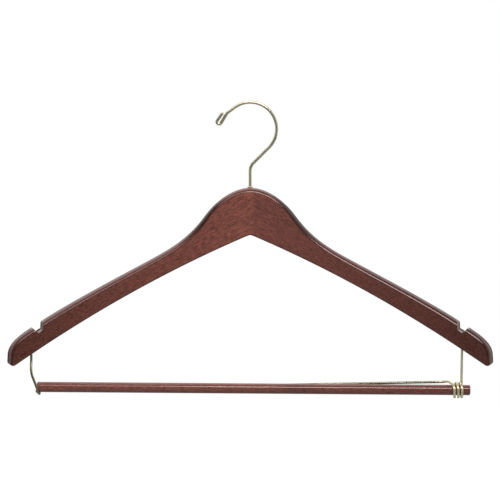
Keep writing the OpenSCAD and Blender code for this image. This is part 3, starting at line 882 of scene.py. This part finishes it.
gauge = place(rod_tree, "GeometryNodeInputNamedAttribute", {"Name": GAUGE}, data_type="FLOAT")
sweep = place(rod_tree, "GeometryNodeCurveToMesh", {
    "Curve": marked.outputs["Geometry"], "Profile Curve": rim.outputs["Geometry"],
    "Scale": gauge.outputs[0], "Fill Caps": True})
print("swept_rod takes", sorted(rod_inputs))

# %% Straightened coordinates and finish of a rod
around = place(rod_tree, "ShaderNodeSeparateXYZ", {0: rim.outputs["Around"]}).outputs
unrolled = place(rod_tree, "ShaderNodeCombineXYZ", {
    "X": around["X"], "Y": around["Y"], "Z": marked.outputs["Along"]})
stored = place(rod_tree, "GeometryNodeStoreNamedAttribute", {
    "Geometry": sweep.outputs[0], "Name": STRAIGHTENED}, data_type="FLOAT_VECTOR")
rod_tree.links.new(unrolled.outputs[0], stored.inputs["Value"])
whole = place(rod_tree, "GeometryNodeRealizeInstances", {"Geometry": stored.outputs[0]})
dressed = place(rod_tree, "GeometryNodeSetMaterial", {
    "Geometry": whole.outputs[0], "Material": given.outputs["Finish"]})
place(rod_tree, "NodeGroupOutput", {0: dressed.outputs[0]})
print("swept_rod has", len(rod_tree.nodes), "nodes")


# %% Sweep along a path
def sweep_rod(name, points, gauges, radius, sides, finish):
    """Sweeps a rod along the points, with its radius times the gauge at each, as a plain mesh."""
    mesh = bpy.data.meshes.new(name)
    mesh.from_pydata([tuple(p) for p in points], [(i, i + 1) for i in range(len(points) - 1)], [])
    mesh.attributes.new(GAUGE, "FLOAT", "POINT").data.foreach_set("value", list(gauges))
    rod = bpy.data.objects.new(name, mesh)
    bpy.context.scene.collection.objects.link(rod)
    maker = rod.modifiers.new("swept_rod", "NODES")
    maker.node_group = rod_tree
    maker[rod_inputs["Radius"]] = radius
    maker[rod_inputs["Sides"]] = sides
    maker[rod_inputs["Finish"]] = finish
    graph = bpy.context.evaluated_depsgraph_get()
    swept_mesh = bpy.data.meshes.new_from_object(rod.evaluated_get(graph), preserve_all_data_layers=True,
                                                 depsgraph=graph)
    rod.modifiers.clear()
    rod.data = swept_mesh
    return rod


# %% [markdown]
# ## The hook
# One length of wire: a peened head under the neck, the stem, a bend, a straight diagonal, the round
# crown, a short tip that turns down, and a tight fold that hides the cut end. A smooth curve through a
# few points would never be truly round, so it is drawn as arcs and straight runs that join without a
# kink, as a bending jig makes them.

# %% Sizes of the hook
CROWN_ROUND = 23.7 * MM
CROWN_START = -45
CROWN_END = 127
TIP_RUN = 7 * MM
STEM_BEND = 9 * MM
TIP_BEND = 6 * MM
TIP_TURN = 22
TIP_DROP = 9 * MM
FOLD_ROUND = 2.05 * MM
FOLD_TURN = 184
FOLD_RUN = 7.5 * MM
STEM_BEND_STEPS = 14
CROWN_STEPS = 72
TIP_BEND_STEPS = 12
FOLD_STEPS = 36
DOME_ANGLES = np.radians([15, 30, 45, 60, 75, 87])
crown_centre = np.array([0, HOOK_WIRE - CROWN_ROUND])
print("crown of", round(2 * CROWN_ROUND / MM, 1), "mm across the middle of the wire")


# %% Path of the hook
def compass(angle):
    """Unit step, as x and z, at an angle in degrees anticlockwise from +X."""
    return np.array([math.cos(math.radians(angle)), math.sin(math.radians(angle))])


def arc(centre, radius, start, end, steps):
    return [centre + radius * compass(a) for a in np.linspace(start, end, steps + 1)]


diagonal_end = crown_centre + CROWN_ROUND * compass(CROWN_START)
bend_end_x = STEM_BEND * (1 - math.cos(math.radians(CROWN_START)))
bend_end_z = diagonal_end[1] - (diagonal_end[0] - bend_end_x)
bend_centre = np.array([STEM_BEND, bend_end_z + STEM_BEND * math.sin(math.radians(CROWN_START))])
run_end = crown_centre + CROWN_ROUND * compass(CROWN_END) + TIP_RUN * compass(CROWN_END + 90)
tip_centre = run_end - TIP_BEND * compass(CROWN_END)
drop_angle = CROWN_END + TIP_TURN
drop_end = tip_centre + TIP_BEND * compass(drop_angle) + TIP_DROP * compass(drop_angle + 90)
fold_centre = drop_end + FOLD_ROUND * compass(drop_angle)
fold_angle = drop_angle + 180 - FOLD_TURN
fold_end = fold_centre + FOLD_ROUND * compass(fold_angle)
fold_way = compass(fold_angle - 90)
fold_tip = fold_end + FOLD_RUN * fold_way
bent = (arc(bend_centre, STEM_BEND, 180, 180 + CROWN_START, STEM_BEND_STEPS)
        + arc(crown_centre, CROWN_ROUND, CROWN_START, CROWN_END, CROWN_STEPS)
        + arc(tip_centre, TIP_BEND, CROWN_END, drop_angle, TIP_BEND_STEPS)
        + arc(fold_centre, FOLD_ROUND, drop_angle + 180, fold_angle, FOLD_STEPS) + [fold_tip])
dome = [(math.sin(a), math.cos(a)) for a in DOME_ANGLES]
bent += [fold_tip + HOOK_WIRE * reach * fold_way for reach, _ in dome]
print("hook bends from", np.round(bend_centre / MM, 1), "to", np.round(fold_tip / MM, 1), "mm")

# %% Hook
HOOK_SIDES = 28
WASHER_THICK = 1 * MM
HEAD_GAP = 0.1 * MM
HEAD_ROUND = 3 * MM
HEAD_HEIGHT = 2.2 * MM
HEAD_TOP = RECESS_TOP - WASHER_THICK - HEAD_GAP
HEAD_EDGE = 0.02 * MM
HEAD_ANGLES = np.radians(np.linspace(20, 90, 8))
head_foot = HEAD_TOP - HEAD_HEIGHT
head = [(math.sin(a), math.cos(a)) for a in HEAD_ANGLES]
stem = [(head_foot + HEAD_HEIGHT * (1 - rise), HEAD_ROUND * out / HOOK_WIRE) for out, rise in head]
stem += [(HEAD_TOP - HEAD_EDGE, HEAD_ROUND / HOOK_WIRE), (HEAD_TOP, 1), (NECK_TOP, 1)]
hook_points = [(0, 0, z) for z, _ in stem] + [(x, 0, z) for x, z in bent]
hook_gauges = [g for _, g in stem] + [1] * (len(bent) - len(dome)) + [g for _, g in dome]
hook = sweep_rod("hook_wire", hook_points, hook_gauges, HOOK_WIRE, HOOK_SIDES, hook_brass)
finish_piece(hook, hook_brass, "hook", "swivel_hook")

# %% [markdown]
# ## Ferrule and washer
# The stem turns in a small brass ferrule with a rounded collar, and its head pulls against a washer in
# the recess under the neck. On the real hanger both are turned or stamped round, so both come off the
# lathe here, from their profiles.

# %% Ferrule
STEM_CLEAR = 0.05 * MM
COLLAR_HEIGHT = 1.5 * MM
COLLAR_STEPS = 12
bore = HOOK_WIRE + STEM_CLEAR
lip = (COLLAR_ROUND - bore) / 2
collar_top = COLLAR_SEAT + COLLAR_HEIGHT - lip
ferrule_profile = [(bore, FERRULE_FOOT), (FERRULE_ROUND, FERRULE_FOOT), (FERRULE_ROUND, COLLAR_SEAT),
                   (COLLAR_ROUND, COLLAR_SEAT)]
ferrule_profile += [(bore + lip + lip * math.cos(a), collar_top + lip * math.sin(a))
                    for a in np.linspace(0, math.pi, COLLAR_STEPS + 1)]
ferrule = turn_profile("hook_collar", ferrule_profile, (0, 0), True)
finish_piece(ferrule, liner_brass, "hanger", "hook_ferrule")

# %% Washer
WASHER_IN = 1.5 * MM
WASHER_OUT = 4.6 * MM
WASHER_FOOT = RECESS_TOP - WASHER_THICK
WASHER_EASE = 0.2 * MM
washer_profile = [(WASHER_IN, WASHER_FOOT), (WASHER_OUT - WASHER_EASE, WASHER_FOOT),
                  (WASHER_OUT, WASHER_FOOT + WASHER_EASE), (WASHER_OUT, RECESS_TOP), (WASHER_IN, RECESS_TOP)]
washer = turn_profile("head_washer", washer_profile, (0, 0), True)
finish_piece(washer, liner_brass, "hanger", "hook_washer")

# %% [markdown]
# ## The trouser bar
# A dowel with eased ends. A plain cylinder would have knife edges, so the same sweep makes it, with a
# gauge that narrows at the ends. Its place comes from the frame: the joint on which it lifts is the
# middle of the coil, and it leans a little, because the coil hangs lower than the cradle.

# %% Bar
BAR_ROUND = 4.6 * MM
BAR_LENGTH = 386.6 * MM
BAR_PAST_COIL = 11.2 * MM
BAR_LEAN = 2.8 * MM
BAR_EASE = 1.2 * MM
BAR_EASE_STEPS = 8
BAR_SIDES = 56
bar_joint = next(joint for joint in frame["joints"] if joint["name"] == "bar_lift")
coil_x, bar_y, coil_z = bar_joint["pos_m"]
bar_right = coil_x + BAR_PAST_COIL
bar_left = bar_right - BAR_LENGTH
bar_tilt = math.asin(BAR_LEAN / (coil_x - bar_left))
bar_way = np.array([math.cos(bar_tilt), 0, -math.sin(bar_tilt)])
bar_start = np.array([coil_x, bar_y, coil_z]) + (BAR_PAST_COIL - BAR_LENGTH) * bar_way
ease = [(BAR_EASE * (1 - math.cos(a)), 1 - BAR_EASE * (1 - math.sin(a)) / BAR_ROUND)
        for a in np.linspace(0, math.pi / 2, BAR_EASE_STEPS + 1)]
bar_steps = ease + [(BAR_LENGTH - d, g) for d, g in ease[::-1]]
bar_points = [bar_start + d * bar_way for d, _ in bar_steps]
bar = sweep_rod("bar_dowel", bar_points, [g for _, g in bar_steps], BAR_ROUND, BAR_SIDES, bar_wood)
finish_piece(bar, bar_wood, "bar", "trouser_bar")

# %% [markdown]
# ## The spring wire
# One wire does everything under the arms: the left leg drops in front of the bar and passes under it
# as an open cradle, a straight lock wire runs behind the bar to the right, and there it climbs over the
# bar, winds round it as a coil and ends in the right leg. Separate pieces would be easier, but they
# would show seams where the real wire just bends. So the places are listed in one row, joined straight
# or with bends, and then relaxed like a real bend, so that nothing kinks.

# %% Cradle
CRADLE_GAP = 0.35 * MM
CRADLE_OFF = BAR_ROUND + CRADLE_GAP + WIRE
CRADLE_LEAVE = 110
CRADLE_STEPS = 23
CRADLE_IN = 0.5 * MM
CRADLE_SWING = 1.5 * MM


def bar_z(x):
    return coil_z + (coil_x - x) * math.tan(bar_tilt)


def cradle_at(turn):
    """A place in the cradle, from the front of the bar (0) round under it."""
    c, s = compass(turn)
    x = bar_left + CRADLE_IN + CRADLE_SWING * s
    return np.array([x, bar_y - CRADLE_OFF * c, bar_z(x) - CRADLE_OFF * s])


print("cradle at", round(bar_left / MM, 1), "mm")

# %% Coil
COIL_GAP = 0.65 * MM
COIL_OFF = BAR_ROUND + COIL_GAP + WIRE
COIL_PITCH = 3.4 * MM
COIL_TURNS = 2
COIL_FROM = 25
COIL_LAST = 360 * COIL_TURNS + 90
COIL_TO = 360 * COIL_TURNS + 279
COIL_STEPS = 139
STRAND_GAP = 0.1 * MM
coil_first = coil_x - COIL_PITCH * COIL_TURNS / 2
coil_close = 2 * WIRE + STRAND_GAP - COIL_PITCH * (360 - COIL_TO + COIL_LAST) / 360


def coil_at(turn):
    """A place on the coil, from the top of the bar (0) forward and down. The last half turn closes up."""
    c, s = compass(turn)
    run = COIL_PITCH * (min(turn, COIL_LAST) - 90) / 360
    run += coil_close * max(0, turn - COIL_LAST) / (COIL_TO - COIL_LAST)
    return np.array([coil_first + run, bar_y - COIL_OFF * s, coil_z + COIL_OFF * c])


print("coil of", COIL_TURNS + 1, "front strands at", round(coil_x / MM, 1), "mm")

# %% Bends of the spring wire
WIRE_BEND = 2.4 * MM
KNEE_BEND = 16 * MM
BEND_STEPS = 14


def unit(v):
    return v / np.linalg.norm(v)


def bend(before, corner, after, radius):
    """Points of a bend of this radius at a corner, on the way from before to after."""
    u = unit(before - corner)
    v = unit(after - corner)
    half = math.acos(u @ v) / 2
    inner = unit(u + v)
    centre = corner + inner * radius / math.sin(half)
    turns = np.linspace(half - math.pi / 2, math.pi / 2 - half, BEND_STEPS)
    return [centre - radius * math.cos(g) * inner + radius * math.sin(g) * unit(v - u) for g in turns]


print("bends of", round(WIRE_BEND / MM, 1), "mm and knees of", round(KNEE_BEND / MM, 1), "mm")

# %% Places along the spring wire
LEG_DROP = 6 * MM
KNEE_UP = 14 * MM
HEEL_RUN = 5.8 * MM
HEEL_OUT = 5.8 * MM
LOCK_END = np.array([-9.4, 5.9, 6.3]) * MM
LOCK_OVER = np.array([-4.9, 1.5, 7.7]) * MM
left_top = np.array([-LEG_X["left"], sweep_y(LEG_X["left"]), under_z(LEG_X["left"])])
right_top = np.array([LEG_X["right"], sweep_y(LEG_X["right"]), under_z(LEG_X["right"])])
leg_in = np.array([0, 0, LEG_DEPTH - LEG_GAP])
leg_out = np.array([0, 0, -LEG_DROP])
left_knee = left_top + leg_out
right_knee = right_top + leg_out
cradle_knee = np.array([-LEG_X["left"], bar_y - CRADLE_OFF, bar_z(bar_left) + KNEE_UP])
cradle_end = cradle_at(CRADLE_LEAVE)
c, s = compass(CRADLE_LEAVE)
heel = np.array([bar_left - HEEL_OUT, cradle_end[1] + HEEL_RUN * s, cradle_end[2] - HEEL_RUN * c])
first_strand = np.array([coil_first, bar_y, coil_z])
lock_end = first_strand + LOCK_END
lock_over = first_strand + LOCK_OVER
wire_places = [left_top + leg_in]
wire_places += bend(left_top, left_knee, cradle_knee, KNEE_BEND)
wire_places += bend(left_knee, cradle_knee, cradle_at(0), KNEE_BEND)
wire_places += [cradle_at(g) for g in np.linspace(0, CRADLE_LEAVE, CRADLE_STEPS + 1)]
wire_places += bend(cradle_end, heel, lock_end, WIRE_BEND)
wire_places += bend(heel, lock_end, lock_over, WIRE_BEND)
wire_places += bend(lock_end, lock_over, coil_at(COIL_FROM), WIRE_BEND)
wire_places += [coil_at(g) for g in np.linspace(COIL_FROM, COIL_TO, COIL_STEPS + 1)]
wire_places += bend(coil_at(COIL_TO), right_knee, right_top, WIRE_BEND)
wire_places += [right_top + leg_in]
print("spring wire with", len(wire_places), "places")

# %% Relaxed path of the spring wire
PATH_PITCH = 0.2 * MM
BEND_SPREAD = 0.5 * MM
SPREADS_KEPT = 3
KEEP_TURN = math.radians(3)
KEEP_RUN = 12 * MM


def relaxed(points):
    """Even steps along the points, averaged with their neighbours so that corners become bends."""
    points = np.array(points)
    length = np.concatenate([[0], np.cumsum(np.linalg.norm(np.diff(points, axis=0), axis=1))])
    even = np.linspace(0, length[-1], int(length[-1] / PATH_PITCH))
    dense = np.column_stack([np.interp(even, length, axis) for axis in points.T])
    reach = int(SPREADS_KEPT * BEND_SPREAD / PATH_PITCH)
    weight = np.exp(-0.5 * np.square(np.arange(-reach, reach + 1) * PATH_PITCH / BEND_SPREAD))
    wide = np.pad(dense, ((reach, reach), (0, 0)), mode="reflect", reflect_type="odd")
    return np.column_stack([np.convolve(axis, weight / weight.sum(), "valid") for axis in wide.T])


def thinned(points):
    """Drops points where the path is nearly straight."""
    steps = np.diff(points, axis=0)
    steps /= np.linalg.norm(steps, axis=1)[:, None]
    kept = [0]
    for i in range(1, len(points) - 1):
        turned = math.acos(min(1, float(steps[i] @ steps[kept[-1]])))
        if turned > KEEP_TURN or np.linalg.norm(points[i] - points[kept[-1]]) > KEEP_RUN:
            kept.append(i)
    return points[kept + [len(points) - 1]]


# %% Spring wire
WIRE_SIDES = 22
wire_points = thinned(relaxed(wire_places))
wire = sweep_rod("spring_wire", wire_points, [1] * len(wire_points), WIRE, WIRE_SIDES, wire_brass)
finish_piece(wire, wire_brass, "hanger", "stirrup_wire")

# %% [markdown]
# ## Finish
# The colours are shown as they are written, with the Standard view.

# %% Finish
bpy.context.scene.view_settings.view_transform = "Standard"
